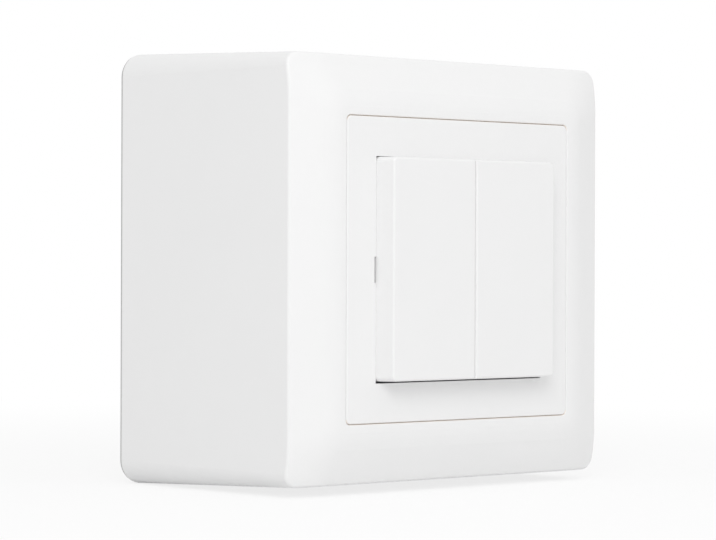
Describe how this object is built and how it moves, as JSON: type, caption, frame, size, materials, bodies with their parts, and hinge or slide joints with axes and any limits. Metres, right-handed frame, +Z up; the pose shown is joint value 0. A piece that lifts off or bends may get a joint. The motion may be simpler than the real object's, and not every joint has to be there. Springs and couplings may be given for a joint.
{
  "type": "surface push button switch",
  "caption": "Surface wall switch: drafted square hood with a convex front frame, flat centre plate and side-by-side rocking push keys.",
  "frame": {"origin": "centre of the cable entry on the wall face", "axes": "+Y out of the back into the wall, -Y out of the front, +X to the right seen from the front, +Z up"},
  "size_m": [0.0808, 0.0554, 0.0808],
  "materials": {
    "hood_plastic": "satin white moulding",
    "plate_plastic": "satin white moulding",
    "key_plastic": "satin white moulding",
    "base_plastic": "plain white moulding",
    "insert_plastic": "light grey moulding",
    "rocker_plastic": "natural white moulding",
    "plunger_plastic": "natural low friction plastic",
    "zinc_sheet": "zinc plated sheet",
    "screw_steel": "zinc plated",
    "contact_brass": "plain brass",
    "leaf_bronze": "rolled spring bronze"
  },
  "bodies": {
    "housing": {"surface_hood": "hood_plastic", "wall_base": "base_plastic", "support_frame": "zinc_sheet", "device_screws": "screw_steel", "centre_plate": "plate_plastic", "insert_body": "insert_plastic", "insert_cover": "insert_plastic", "cover_screws": "screw_steel", "pivot_axle": "screw_steel", "leaf_rivets": "contact_brass", "terminal_blocks": "contact_brass", "terminal_screws": "screw_steel", "left_common_bar": "contact_brass", "right_common_bar": "contact_brass", "left_upper_leaf": "leaf_bronze", "left_upper_contact": "contact_brass", "left_lower_leaf": "leaf_bronze", "left_lower_contact": "contact_brass", "right_upper_leaf": "leaf_bronze", "right_upper_contact": "contact_brass", "right_lower_leaf": "leaf_bronze", "right_lower_contact": "contact_brass"},
    "left_key": {"left_key": "key_plastic", "left_rocker": "rocker_plastic"},
    "right_key": {"right_key": "key_plastic", "right_rocker": "rocker_plastic"},
    "left_upper_plunger": {"left_upper_plunger": "plunger_plastic"},
    "left_lower_plunger": {"left_lower_plunger": "plunger_plastic"},
    "right_upper_plunger": {"right_upper_plunger": "plunger_plastic"},
    "right_lower_plunger": {"right_lower_plunger": "plunger_plastic"}
  },
  "joints": [
    {"name": "left_key_rock", "type": "hinge", "parent": "housing", "child": "left_key", "pos_m": [0, -0.0502, 0], "axis": [1, 0, 0], "range_deg": [-3.5, 3.5], "stiffness_Nm_per_rad": 0.9},
    {"name": "right_key_rock", "type": "hinge", "parent": "housing", "child": "right_key", "pos_m": [0, -0.0502, 0], "axis": [1, 0, 0], "range_deg": [-3.5, 3.5], "stiffness_Nm_per_rad": 0.9},
    {"name": "left_upper_plunger_slide", "type": "slide", "parent": "housing", "child": "left_upper_plunger", "axis": [0, 1, 0], "range_m": [-0.0008, 0.0008], "deforming": ["left_upper_leaf"]},
    {"name": "left_lower_plunger_slide", "type": "slide", "parent": "housing", "child": "left_lower_plunger", "axis": [0, 1, 0], "range_m": [-0.0008, 0.0008], "deforming": ["left_lower_leaf"]},
    {"name": "right_upper_plunger_slide", "type": "slide", "parent": "housing", "child": "right_upper_plunger", "axis": [0, 1, 0], "range_m": [-0.0008, 0.0008], "deforming": ["right_upper_leaf"]},
    {"name": "right_lower_plunger_slide", "type": "slide", "parent": "housing", "child": "right_lower_plunger", "axis": [0, 1, 0], "range_m": [-0.0008, 0.0008], "deforming": ["right_lower_leaf"]}
  ],
  "couplings": [
    {"joint": "left_upper_plunger_slide", "follows": "left_key_rock", "m_per_rad": -0.013},
    {"joint": "left_lower_plunger_slide", "follows": "left_key_rock", "m_per_rad": 0.013},
    {"joint": "right_upper_plunger_slide", "follows": "right_key_rock", "m_per_rad": -0.013},
    {"joint": "right_lower_plunger_slide", "follows": "right_key_rock", "m_per_rad": 0.013}
  ]
}
